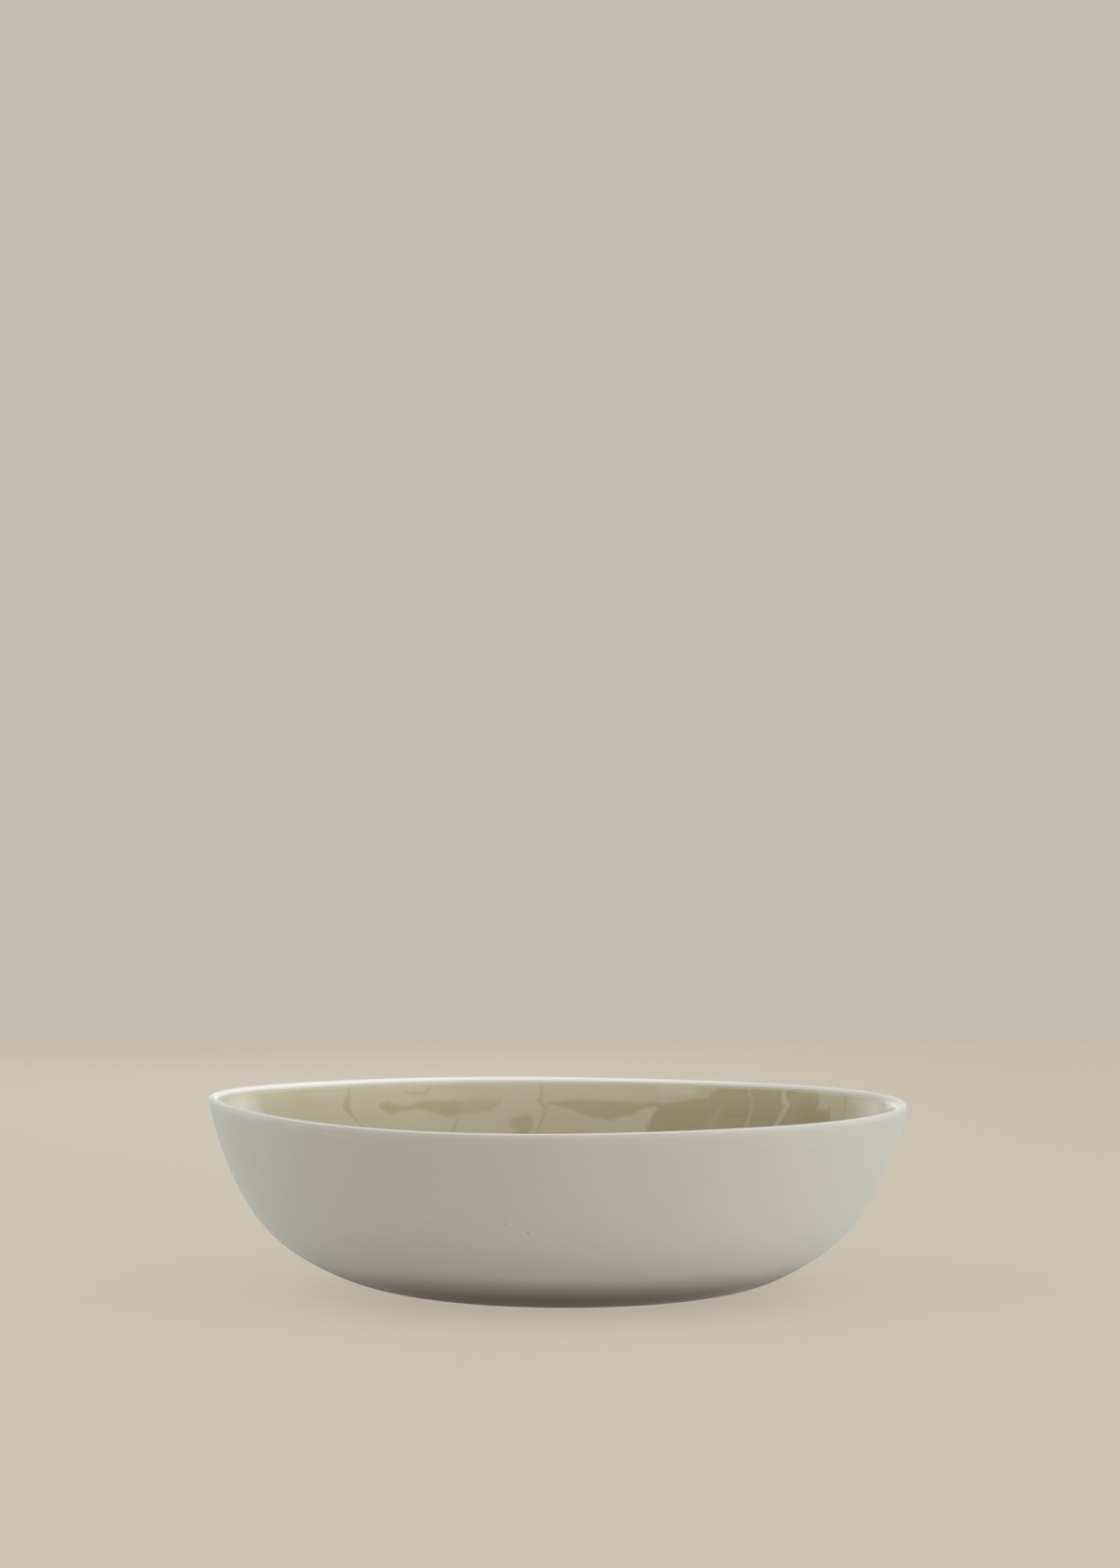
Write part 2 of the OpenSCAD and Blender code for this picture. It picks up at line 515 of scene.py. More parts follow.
@dataclass(frozen=True)
class ClayFinish:
    """Matte tinted stoneware with a fine grain, sparse specks and a paler lip.

    A film of glaze wets the inside of the lip. The lip's colour is partly clay that rubbing left
    paler and partly a painted highlight. Painted shade darkens the clay towards the foot, and more
    gently up the wall towards the lip.
    """

    cool: Colour = srgb(193, 193, 185)
    warm: Colour = srgb(193, 192, 183)
    # Painted shade: the clay goes from the low to the high factor between the two heights below, so
    # it is darker towards the lip.
    painted_shade_low: Colour = (1.0, 1.0, 1.0, 1.0)
    painted_shade_high: Colour = (0.87, 0.863, 0.83, 1.0)
    # Lip colour: partly clay that rubbing left paler, partly a painted highlight of the light from
    # above and behind on the lip's top.
    lip: Colour = srgb(240, 239, 233)
    film: Colour = srgb(203, 201, 187)
    # Painted shade: dark brown that stands in for the shade under the bowl near the foot.
    painted_foot_shade: Colour = srgb(86, 69, 30)
    foot_shade_top: float = 0.0150
    foot_shade_bottom: float = 0.0028
    foot_shade_waver: float = 0.0016
    shade_fade_start: float = 0.014
    shade_fade_full: float = 0.057
    roughness: Point = (0.57, 0.70)
    film_roughness: float = 0.60
    sheen: float = 0.16
    sheen_roughness: float = 0.35
    patch_size: float = 0.055
    patch_span: Point = (0.35, 0.65)
    grain_size: float = 0.00040
    grain_detail: float = 3.0
    grain_depth: float = 0.000010
    grain_contrast: float = 0.035
    grain_shade_span: Point = (0.3, 0.7)
    grain_roughness_span: Point = (0.2, 0.8)
    specks: tuple[Speck, ...] = (
        Speck(srgb(92, 76, 62), 0.0082, 0.00031, 0.80),
        Speck(srgb(132, 122, 108), 0.0040, 0.00024, 0.65),
        Speck(srgb(236, 234, 226), 0.0052, 0.00024, 0.70),
    )

    def build(self) -> Material:
        """Make the material.

        Returns:
            The clay's material.
        """
        material, sheet, shader = new_material("tinted_clay")
        where = sheet.add("ShaderNodeTexCoord").outputs["Object"]
        grain = sheet.noise(where, self.grain_size, self.grain_detail)
        colour = self.body_colour(sheet, where, grain)
        for speck in self.specks:
            colour = self.strew(sheet, where, colour, speck)
        # Share of the lip colour: paler worn clay and painted highlight over the lip.
        lip_pale_and_highlight = sheet.attribute("rubbed_and_highlit_lip")
        film = sheet.attribute("glaze_film")
        colour = sheet.mix(lip_pale_and_highlight, colour, self.lip)
        colour = sheet.mix(film, colour, self.film)
        matte = sheet.span(grain, *self.grain_roughness_span, *self.roughness)
        sheet.feed(shader, {
            "Base Color": colour,
            "Normal": sheet.bump(grain, self.grain_depth),
            "Roughness": sheet.span(film, 0.0, 1.0, matte, self.film_roughness),
            "Sheen Weight": self.sheen,
            "Sheen Roughness": self.sheen_roughness,
        })
        return material

    def body_colour(self, sheet: Sheet, where: Socket, grain: Socket) -> Socket:
        """Colour the bare clay: soft patches, painted shade that slowly darkens it upwards, grain
        and painted shade towards the foot.

        Args:
            sheet: Sheet of the material.
            where: Socket of the coordinates.
            grain: Socket of the grain's noise.

        Returns:
            The colour's socket.
        """
        patches = sheet.noise(where, self.patch_size)
        colour = sheet.mix(sheet.span(patches, *self.patch_span), self.cool, self.warm)
        height = sheet.add("ShaderNodeSeparateXYZ", {0: where}).outputs[2]
        waver = sheet.math("MULTIPLY_ADD", patches, self.foot_shade_waver, -self.foot_shade_waver / 2)
        height = sheet.math("ADD", height, waver)
        # Painted shade: darker towards the foot, where the bowl and the floor shade each other.
        foot_shaded = sheet.span(height, self.foot_shade_top, self.foot_shade_bottom)
        colour = sheet.mix(foot_shaded, colour, self.painted_foot_shade)
        # Painted shade that darkens the clay upwards.
        rise = sheet.span(height, self.shade_fade_start, self.shade_fade_full)
        tint = sheet.mix(rise, self.painted_shade_low, self.painted_shade_high)
        colour = sheet.vector("MULTIPLY", colour, tint).outputs[0]
        fine = self.grain_contrast
        shade = sheet.span(grain, *self.grain_shade_span, 1 - fine, 1 + fine)
        return sheet.scale(colour, shade)

    @staticmethod
    def strew(sheet: Sheet, where: Socket, colour: Socket, speck: Speck) -> Socket:
        """Lay one kind of speck over a colour.

        Args:
            sheet: Sheet of the material.
            where: Socket of the coordinates.
            colour: Socket of the colour under the specks.
            speck: The kind of speck.

        Returns:
            The speckled colour's socket.
        """
        cells = sheet.add("ShaderNodeTexVoronoi", {"Vector": where, "Scale": 1 / speck.spacing})
        edge = speck.radius / speck.spacing
        cover = sheet.span(cells.outputs["Distance"], edge, edge / 2, 0.0, speck.strength)
        return sheet.mix(cover, colour, speck.colour)


class Tone(Enum):
    """Whether a mark in the glaze is darker or paler than what surrounds it."""

    DARK = "dark"
    PALE = "pale"


@dataclass(frozen=True)
class GlazeRun:
    """A place where the glaze ran thick or thin, or a painted reflection, as one soft stroke that
    changes width.

    Args:
        stations: Points along the stroke, each as a bearing in degrees round from the right,
            a height in millimetres and a half width in millimetres.
        strength: How much the stroke changes the tone. Over 1, a paler stroke goes further
        towards the colour of thin glaze, as the painted reflections do.
        tone: Whether it is darker or paler.
        softness: Half width of its edge, in millimetres.
    """

    stations: tuple[Triple, ...]
    strength: float
    tone: Tone = Tone.DARK
    softness: float = 0.9


def wall_runs() -> tuple[GlazeRun, ...]:
    """List the runs on the back wall, from left to right as the front shows them.

    Returns:
        The runs.
    """
    pale = Tone.PALE
    smear = GlazeRun(((144.5, 53.7, 0.8), (139, 53.1, 1.5), (134.3, 52.8, 1.2)), 0.24, softness=1.7)
    drop = GlazeRun((
        (131, 58.5, 0.4), (131.4, 55, 0.45), (131.9, 53.4, 0.9), (132.5, 51.8, 1.5),
        (132, 50.2, 0.8), (131, 47.5, 0.35), (129.8, 44, 0.35),
    ), 0.55)
    loop = GlazeRun((
        (121.2, 58.8, 0.4), (119.5, 56, 0.5), (117.6, 54.7, 0.6), (115.3, 54.6, 0.6),
        (114.3, 56.2, 0.5), (114.1, 58.8, 0.4),
    ), 0.34)
    # Painted reflection: a pale patch where the glaze under the lip reflects the light.
    painted_reflection_veil = GlazeRun(((124, 57.5, 1.0), (118, 57.8, 1.4)), 0.5, pale, 1.6)
    bow = GlazeRun((
        (124.5, 51.4, 1.1), (123, 50.7, 1.8), (121.4, 50.8, 1.1), (119, 50.8, 0.6),
        (116.7, 50.9, 1.0), (113.8, 50.6, 2.0), (111.5, 50.2, 2.5), (109.2, 50.4, 2.4),
    ), 0.58, softness=1.2)
    bow_end = GlazeRun((
        (109, 50.4, 2.2), (106, 50.1, 2.6), (103.6, 50.5, 2.1), (101.2, 51.8, 0.9),
    ), 0.46, softness=1.2)
    crease = GlazeRun(((108.2, 48.8, 0.3), (110.9, 42, 0.5)), 0.38, softness=0.6)
    patch = GlazeRun(((98, 44.4, 2.3), (95.9, 44.7, 2.5), (97, 41.3, 2.4)), 0.62, softness=1.7)
    seam = GlazeRun((
        (92.8, 59.2, 0.4), (92.8, 54.4, 0.5), (93.3, 52.2, 1.0), (92.2, 49.8, 0.7),
        (92.7, 46.6, 0.6), (94, 41, 0.6),
    ), 0.5, softness=1.0)
    boat = GlazeRun((
        (91.8, 51.5, 0.5), (89.2, 50.9, 1.1), (86, 49.9, 2.1), (83, 49.2, 2.9),
        (80, 48.8, 3.3), (76.5, 49.5, 2.3), (73.5, 50.5, 1.0), (71, 50.8, 1.0),
    ), 0.66, softness=1.2)
    pool_low = GlazeRun(((67.2, 42.0, 9.7), (52, 42.5, 9.8), (38.5, 43.5, 9.6)), 0.76, softness=1.2)
    pool_shoulder = GlazeRun(
        ((70.4, 50.2, 1.2), (66.5, 49.7, 2.7), (61.5, 50.3, 3.9)), 0.74, softness=1.2
    )
    pool_high = GlazeRun(((59.0, 53.4, 4.2), (49, 53.2, 5.0), (37.7, 54.4, 4.4)), 0.74, softness=1.2)
    pool_end = GlazeRun(((40, 47, 5.8), (33.4, 47.4, 5.5)), 0.76, softness=1.4)
    heart = GlazeRun(((57, 48, 3.0), (50, 48, 4.0), (42, 47, 3.0)), 0.86, softness=3.5)
    gleam = GlazeRun(((70.5, 56.2, 2.0), (64.8, 56.4, 1.8)), 0.6, pale, 1.4)
    cleft = GlazeRun(((57.7, 51.2, 0.3), (58.8, 47.5, 0.9), (60.2, 43, 1.4)), 0.12, pale, 1.2)
    thread = GlazeRun((
        (53, 59, 0.35), (52.4, 54, 0.45), (51.8, 51.3, 0.55), (52, 44, 0.5),
    ), 0.28, pale)
    lightning = GlazeRun((
        (45.3, 59, 0.6), (45, 56, 0.7), (44.5, 54.5, 0.8), (43.3, 52.6, 0.8),
        (44.2, 49.5, 0.8), (45.6, 44, 0.7),
    ), 0.5, pale, 0.8)
    thin_corner = GlazeRun(((41, 57.2, 1.6), (36.5, 56.6, 1.8)), 0.24, pale, 2.0)
    drip = GlazeRun(((31.9, 53.2, 0.6), (31.6, 50.8, 0.9)), 0.8, softness=1.3)
    hair = GlazeRun((
        (28.1, 58.2, 0.6), (27.7, 56, 0.7), (27.1, 53.5, 0.3), (26.6, 49.5, 0.3),
    ), 0.5, softness=1.1)
    # Painted reflections: pale hazes near the lip at both ends of the back wall, where the glaze
    # reflects the lamps.
    right_painted_reflection = GlazeRun(((15, 54, 3.0), (7, 54, 5.0), (-2, 54, 6.0)), 1.6, pale, 3.5)
    left_painted_reflection = GlazeRun(((158, 54, 3.0), (168, 54, 5.0), (184, 54, 6.0)), 0.9, pale, 3.5)
    left_painted_reflection_in_front = GlazeRun(((-176, 54, 6.0), (-182, 54, 6.0)), 0.9, pale, 3.5)
    return (
        smear, drop, loop, painted_reflection_veil, bow, bow_end, crease, patch, seam, boat, pool_low,
        pool_shoulder, pool_high, pool_end, heart, gleam, cleft, thread, lightning,
        thin_corner, drip, hair, right_painted_reflection, left_painted_reflection, left_painted_reflection_in_front,
    )


@dataclass(frozen=True)
class StrayRuns:
    """Ranges that the runs on the rest of the wall are drawn from: broad pools, thin streams.

    Bearings, reaches and leans are in degrees, other lengths in millimetres. Shares are of
    a run's own half width, fall or lean.
    """

    seed: int = 7
    pools: int = 7
    pool_bearings: Point = (-168, -8)
    pool_heights: Point = (41, 52)
    pool_widths: Point = (2.2, 5.5)
    pool_reaches: Point = (4, 11)
    pool_start_shares: Point = (0.3, 0.7)
    pool_middle_rises: Point = (-1.5, 1.5)
    pool_end_rises: Point = (-2.5, 2.5)
    pool_end_share: float = 0.4
    pool_strengths: Point = (0.35, 0.6)
    pool_softness: float = 1.7
    streams: int = 11
    stream_bearings: Point = (-172, -2)
    stream_leans: Point = (-2.5, 2.5)
    stream_falls: Point = (7, 24)
    stream_widths: Point = (0.7, 2.4)
    stream_strengths: Point = (0.3, 0.55)
    stream_softness: float = 1.1
    stream_top: float = 59
    stream_top_width: float = 0.45
    thread_fall_share: float = 0.55
    thread_width: float = 0.4
    drop_fall_share: float = 0.8
    tip_lean_share: float = 1.2
    tip_width_share: float = 0.5

    def draw(self) -> list[GlazeRun]:
        """Draw all the pools, then all the streams.

        Returns:
            The runs, the same ones each time.
        """
        rng = random.Random(self.seed)
        runs = []
        for make, count, (start, end) in (
            (self.pool, self.pools, self.pool_bearings),
            (self.stream, self.streams, self.stream_bearings),
        ):
            for index in range(count):
                bearing = start + (end - start) * (index + rng.random()) / count
                runs.append(make(rng, bearing))
        return runs

    def pool(self, rng: random.Random, bearing: float) -> GlazeRun:
        """Draw a pool that reaches round the wall.

        Args:
            rng: Source of the random numbers.
            bearing: Bearing at which the pool starts.

        Returns:
            The pool.
        """
        height = rng.uniform(*self.pool_heights)
        width = rng.uniform(*self.pool_widths)
        reach = rng.uniform(*self.pool_reaches)
        start_width = width * rng.uniform(*self.pool_start_shares)
        middle_height = height + rng.uniform(*self.pool_middle_rises)
        end_height = height + rng.uniform(*self.pool_end_rises)
        stations = (
            (bearing, height, start_width),
            (bearing + reach / 2, middle_height, width),
            (bearing + reach, end_height, width * self.pool_end_share),
        )
        strength = rng.uniform(*self.pool_strengths)
        return GlazeRun(stations, strength, softness=self.pool_softness)

    def stream(self, rng: random.Random, bearing: float) -> GlazeRun:
        """Draw a stream that runs down from the lip as a thread and ends in a drop.

        Args:
            rng: Source of the random numbers.
            bearing: Bearing at which the stream starts.

        Returns:
            The stream.
        """
        lean = rng.uniform(*self.stream_leans)
        fall = rng.uniform(*self.stream_falls)
        width = rng.uniform(*self.stream_widths)
        tone = rng.choice((Tone.DARK, Tone.DARK, Tone.PALE))
        top = self.stream_top
        stations = (
            (bearing, top, self.stream_top_width),
            (bearing + lean / 2, top - fall * self.thread_fall_share, self.thread_width),
            (bearing + lean, top - fall * self.drop_fall_share, width),
            (bearing + lean * self.tip_lean_share, top - fall, width * self.tip_width_share),
        )
        strength = rng.uniform(*self.stream_strengths)
        return GlazeRun(stations, strength, tone, self.stream_softness)


@dataclass(frozen=True)
class GlazeFinish:
    """Glossy olive glaze that is darker where it pooled and paler where it ran thin, with painted
    reflections as pale hazes near the lip.

    Each warp is the size of its features and how far it shifts a place, in metres.
    """

    pale: Colour = srgb(184, 178, 151)
    deep: Colour = srgb(155, 141, 99)
    # Pale colour of thin glaze, which the painted reflections use too.
    thin: Colour = srgb(200, 195, 176)
    thin_and_reflection_share: float = 0.5
    film: Colour = srgb(188, 184, 162)
    film_from: float = 0.75
    film_share: float = 0.7
    roughness: float = 0.07
    film_roughness: float = 0.30
    wall_radius: float = 0.1045
    merge: float = 0.0010
    warps: tuple[Point, ...] = ((0.012, 0.0026), (0.0035, 0.0004))
    warp_detail: float = 1.0
    cloud_size: float = 0.030
    cloud_detail: float = 1.5
    cloud_span: Point = (0.3, 0.75)
    cloud_strength: float = 0.22
    ripple_size: float = 0.014
    ripple_detail: float = 1.0
    ripple_depth: float = 0.00012
    pooled_rise: float = 0.3
    runs: tuple[GlazeRun, ...] = field(default_factory=wall_runs)
    strays: StrayRuns = field(default_factory=StrayRuns)

    @staticmethod
    def stroke_group() -> bpy.types.NodeTree:
        """Make the node group that measures the gap to one stretch of a stroke.

        Returns:
            A group from a place, two ends and their half widths to the gap, which is
            negative inside the stroke.
        """
        group = bpy.data.node_groups.new("glaze_stroke", "ShaderNodeTree")
        for name in ("Place", "Start", "End"):
            group.interface.new_socket(name, in_out="INPUT", socket_type="NodeSocketVector")
        for name in ("Start Width", "End Width"):
            group.interface.new_socket(name, in_out="INPUT", socket_type="NodeSocketFloat")
        group.interface.new_socket("Gap", in_out="OUTPUT", socket_type="NodeSocketFloat")
        sheet = Sheet(group)
        given = sheet.add("NodeGroupInput").outputs
        to_place = sheet.vector("SUBTRACT", given["Place"], given["Start"]).outputs[0]
        to_end = sheet.vector("SUBTRACT", given["End"], given["Start"]).outputs[0]
        reach = sheet.vector("DOT_PRODUCT", to_place, to_end).outputs["Value"]
        length = sheet.vector("DOT_PRODUCT", to_end, to_end).outputs["Value"]
        share = sheet.math("DIVIDE", reach, length)
        along = sheet.add("ShaderNodeClamp", {"Value": share}).outputs[0]
        nearest = sheet.scale(to_end, along)
        gap = sheet.vector("DISTANCE", to_place, nearest).outputs["Value"]
        width_gain = sheet.math("SUBTRACT", given["End Width"], given["Start Width"])
        width = sheet.math("MULTIPLY_ADD", width_gain, along, given["Start Width"])
        sheet.add("NodeGroupOutput", {"Gap": sheet.math("SUBTRACT", gap, width)})
        return group

    def draw_run(
        self, sheet: Sheet, group: bpy.types.NodeTree, place: Socket, run: GlazeRun
    ) -> Socket:
        """Lay out one run.

        Args:
            sheet: Sheet of the material.
            group: The node group that measures the gap to a stretch.
            place: Socket of the place on the unrolled wall, in metres.
            run: The run.

        Returns:
            The socket of the run's cover.
        """
        gap = None
        for stretch in zip(run.stations, run.stations[1:]):
            node = sheet.add("ShaderNodeGroup", {"Place": place}, node_tree=group)
            for end, (bearing, height, width) in zip(("Start", "End"), stretch):
                spot = (math.radians(bearing) * self.wall_radius, height * MM, 0.0)
                sheet.feed(node, {end: spot, end + " Width": width * MM})
            found = node.outputs["Gap"]
            gap = sheet.math("SMOOTH_MIN", gap, found, self.merge) if gap else found
        edge = run.softness * MM
        return sheet.span(gap, edge, -edge, 0.0, run.strength)

    def unrolled_place(self, sheet: Sheet, where: Socket) -> Socket:
        """Unroll the wall: distance round it and height, with an uneven waver.

        Args:
            sheet: Sheet of the material.
            where: Socket of the object coordinates.

        Returns:
            The socket of the place.
        """
        axes = sheet.add("ShaderNodeSeparateXYZ", {0: where}).outputs
        bearing = sheet.math("ARCTAN2", axes[1], axes[0])
        round_wall = sheet.math("MULTIPLY", bearing, self.wall_radius)
        place = sheet.add("ShaderNodeCombineXYZ", {0: round_wall, 1: axes[2]}).outputs[0]
        for size, reach in self.warps:
            waver = sheet.noise(where, size, self.warp_detail, "Color")
            centred = sheet.vector("SUBTRACT", waver, NOISE_MIDDLE).outputs[0]
            shift = sheet.vector("MULTIPLY", centred, (reach, reach, 0.0)).outputs[0]
            place = sheet.vector("ADD", place, shift).outputs[0]
        return place

    def build(self) -> Material:
        """Make the material.

        Returns:
            The glaze's material.
        """
        material, sheet, shader = new_material("olive_glaze")
        where = sheet.add("ShaderNodeTexCoord").outputs["Object"]
        place = self.unrolled_place(sheet, where)
        group = self.stroke_group()
        covers: dict[Tone, Socket] = {}
        for run in (*self.runs, *self.strays.draw()):
            cover = self.draw_run(sheet, group, place, run)
            known = covers.get(run.tone)
            covers[run.tone] = sheet.math("MAXIMUM", known, cover) if known else cover
        cloud = sheet.noise(where, self.cloud_size, self.cloud_detail)
        cloud = sheet.span(cloud, *self.cloud_span, 0.0, self.cloud_strength)
        kept = sheet.math("SUBTRACT", 1.0, covers[Tone.PALE])
        depth = sheet.math("MAXIMUM", cloud, covers[Tone.DARK])
        depth = sheet.math("MULTIPLY", depth, kept)
        colour = sheet.mix(depth, self.pale, self.deep)
        thin = sheet.math("MULTIPLY", covers[Tone.PALE], self.thin_and_reflection_share)
        colour = sheet.mix(thin, colour, self.thin)
        thinning = sheet.attribute("thinning")
        filmed = sheet.span(thinning, self.film_from, 1.0, 0.0, self.film_share)
        colour = sheet.mix(filmed, colour, self.film)
        ripple = sheet.noise(where, self.ripple_size, self.ripple_detail)
        height = sheet.math("ADD", ripple, sheet.math("MULTIPLY", depth, self.pooled_rise))
        sheet.feed(shader, {
            "Base Color": colour,
            "Normal": sheet.bump(height, self.ripple_depth),
            "Roughness": sheet.span(thinning, 0.0, 1.0, self.roughness, self.film_roughness),
        })
        return material


# Pieces


@dataclass
class ClayBowl(TurnedPiece):
    """The fired clay: foot ring, underside, wall and bare lip."""

    finish_of_clay: ClayFinish = field(default_factory=ClayFinish)
    lip_steps: int = 24
    lip_crispness: float = 0.5
    lip_tuck: float = 0.00022
    lip_tuck_full: float = 0.7
    lip_rise: float = 0.97
    roof_shares: tuple[float, ...] = (0.0, 0.25, 0.5, 0.75, 0.93)
    ring_steps: int = 5
    ring_round: float = 0.0008
    unevenness: float = 0.00012
    unevenness_size: float = 0.035
    uneven_from: Point = (0.0, 0.1)
    even_from: Point = (0.75, 0.92)
    rubbed_and_highlit_outside: Point = (0.22, 0.40)
    rubbed_and_highlit_inside: Point = (0.46, 0.62)
    outside_share: float = 0.52
    film_start: float = 0.88
    film_creep: float = 0.36
    film_low_bearing: float = 17
    film_low_span: Point = (0.5, 1.0)
    film_end: float = 1.1

    def foot(self) -> list[Vector]:
        """Draw the recess and the foot ring, from the axis out to the foot's edge.

        Returns:
            The points of the outline.
        """
        form = self.form
        recess = form.foot_recess
        inner = form.foot_radius - form.foot_ring_width
        roof = inner - form.foot_recess_slant
        corner = self.ring_round
        points = [Vector((roof * share, recess)) for share in self.roof_shares]
        for step in range(self.ring_steps + 1):
            share = step / self.ring_steps
            height = recess * (1 - ease(share, 0.0, 1.0))
            points.append(Vector((roof + (inner + corner - roof) * share, height)))
        points.append(Vector((form.foot_radius - corner, 0.0)))
        return points

    def crown(self) -> tuple[list[Vector], list[float]]:
        """Draw the rounding over the lip, crisper outside than inside.

        Returns:
            The points from the outer to the inner wall, and how far over the lip each lies.
        """
        form = self.form
        centre = form.lip_outer + form.lip_round * form.inward(form.lip_slope)
        across, up = form.inward(form.lip_slope), form.climb(form.lip_slope)
        points, turned = [], []
        for step in range(1, self.lip_steps + 1):
            share = step / self.lip_steps
            flat = math.cos(math.pi * share)
            rise = math.sin(math.pi * share)
            tuck = 0.0
            if flat > 0:
                flat, rise = flat ** self.lip_crispness, rise ** self.lip_crispness
                tuck = self.lip_tuck * flat * ease(rise, 0.0, self.lip_tuck_full)
            point = centre + form.lip_round * (self.lip_rise * rise * up - flat * across)
            points.append(point - Vector((tuck, 0.0)))
            turned.append(share)
        return points, turned

    def wetted_from(self, bearing: float) -> float:
        """Give how far over the lip the film of glaze starts, at a bearing in radians."""
        low_side = math.cos(bearing - math.radians(self.film_low_bearing))
        return self.film_start - self.film_creep * ease(low_side, *self.film_low_span)

    def build(self) -> bpy.types.Object:
        """Make the clay bowl.

        Returns:
            The object.
        """
        form = self.form
        foot = self.foot()
        outside = form.outside(self.stretch_steps)
        crown, turned = self.crown()
        inside = form.under_glaze(self.stretch_steps)[::-1]
        over_lip = [0.0] * (len(foot) + len(outside)) + turned + [self.film_end] * len(inside)
        bm = self.sweep(foot + outside + crown + inside, {"over_lip": over_lip})
        reached = bm.verts.layers.float["over_lip"]
        lip_pale_and_highlight = bm.verts.layers.float.new("rubbed_and_highlit_lip")
        wetted = bm.verts.layers.float.new("glaze_film")
        for vert in bm.verts:
            # Share of the lip colour: paler worn clay and painted highlight over the lip.
            outer = self.outside_share * ease(vert[reached], *self.rubbed_and_highlit_outside)
            inner = (1 - self.outside_share) * ease(vert[reached], *self.rubbed_and_highlit_inside)
            vert[lip_pale_and_highlight] = outer + inner
            film_start = self.wetted_from(bearing_of(vert.co))
            vert[wetted] = ease(vert[reached], film_start, self.film_end)
            rise = vert.co.z / form.height
            share = ease(rise, *self.uneven_from) - ease(rise, *self.even_from)
            wander = noise.noise(vert.co / self.unevenness_size) * self.unevenness * share
            vert.co = form.place(vert.co + wander * outwards_from_axis(vert.co))
        return self.finish(bm, self.finish_of_clay.build())


@dataclass
class GlazeCoat(TurnedPiece):
    """The fired glaze over the whole inside, up to just below the lip.

    Its edge waves up and down, more and more over the last few tapers' length of the wall.
    """

    finish_of_glaze: GlazeFinish = field(default_factory=GlazeFinish)
    edge_steps: int = 8
    fade_length: float = 0.008
    dull_length: float = 0.003
    edge_waves: tuple[Wave, ...] = (Wave(1, 0.3 * MM, -42.49013), Wave(3, 0.15 * MM, 40.90141))
    waving_tapers: float = 2.0

    def build(self) -> bpy.types.Object:
        """Make the glaze.

        Returns:
            The object.
        """
        form = self.form
        under = form.under_glaze(self.stretch_steps)
        full, edge = under[-2:]
        fine = [full.lerp(edge, step / self.edge_steps) for step in range(self.edge_steps)]
        covered = under[:-2] + fine
        face = self.face(covered, edge)
        thinned = [ease((edge - point).length, self.dull_length, 0.0) for point in covered]
        thinning = [0.0] * (len(under) - 1) + [1.0] + thinned[::-1]
        bm = self.sweep(under + face[::-1], {"thinning": thinning})
        climb = form.climb(form.lip_slope)
        waving_from = full.y - self.waving_tapers * form.glaze_taper
        for vert in bm.verts:
            bearing = bearing_of(vert.co)
            wave = sum(wave.at(bearing) for wave in self.edge_waves)
            slide = wave * ease(vert.co.z, waving_from, edge.y)
            vert.co += slide * climb.x * outwards_from_axis(vert.co)
            vert.co.z += slide * climb.y
            vert.co = form.place(vert.co)
        return self.finish(bm, self.finish_of_glaze.build())

    def face(self, under: list[Vector], edge: Vector) -> list[Vector]:
        """Draw the shiny face, one glaze thickness above the clay and thinner near the edge.

        Args:
            under: Outline of the clay under the face, from the axis outwards.
            edge: Point where the glaze ends.

        Returns:
            The face's outline, from the axis outwards.
        """
        points = []
        for index, point in enumerate(under):
            ahead = under[min(index + 1, len(under) - 1)]
            behind = under[max(index - 1, 0)]
            way = (ahead - behind).normalized()
            if index == 0:
                way = Vector((1.0, 0.0))
            thickness = self.form.glaze_thickness
            thickness *= ease((edge - point).length, 0.0, self.fade_length)
            points.append(point + thickness * Vector((-way.y, way.x)))
        return points


# Studio


@dataclass(frozen=True)
class Lamp:
    """One softbox that points at the bowl and is brightest in its middle.

    Args:
        name: Name of the lamp.
        place: Where it stands, in metres.
        size: Width and height, in metres.
        power: Power, in watts, that it would have without its fade.
        colour: Red, green and blue share of its light.
        spread: Angle of the cone that it shines into, in degrees, so that it leaves no
            bright spot on the floor beside it.
    """

    name: str
    place: Triple
    size: Point
    power: float
    colour: Triple = (1.0, 1.0, 1.0)
    spread: float = 70

    def build(self, target: Vector) -> None:
        """Set the lamp up, unseen by the camera itself.

        Args:
            target: The point that it faces.
        """
        data = bpy.data.lights.new(self.name, "AREA")
        data.shape = "RECTANGLE"
        data.size, data.size_y = self.size
        data.energy = self.power
        data.spread = math.radians(self.spread)
        data.color = self.colour
        data.use_nodes = True
        self.fade(Sheet(data.node_tree))
        lamp = bpy.data.objects.new(self.name, data)
        lamp.location = self.place
        lamp.rotation_euler = (target - Vector(self.place)).to_track_quat("-Z", "Y").to_euler()
        lamp.visible_camera = False
        bpy.context.scene.collection.objects.link(lamp)

    def fade(self, sheet: Sheet) -> None:
        """Darken the lamp towards its edges, so that its reflection has none.

        Args:
            sheet: Sheet of the lamp's own nodes.
        """
        across = sheet.add("ShaderNodeNewGeometry").outputs["Parametric"]
        sides = sheet.add("ShaderNodeSeparateXYZ", {0: across}).outputs
        level = 1.0
        for side in (sides[0], sides[1]):
            other = sheet.math("SUBTRACT", 1.0, side)
            crest = sheet.math("MULTIPLY", sheet.math("MULTIPLY", side, other), CREST_GAIN)
            level = sheet.math("MULTIPLY", level, crest)
        sheet.feed(sheet.tree.nodes["Emission"], {"Strength": level})


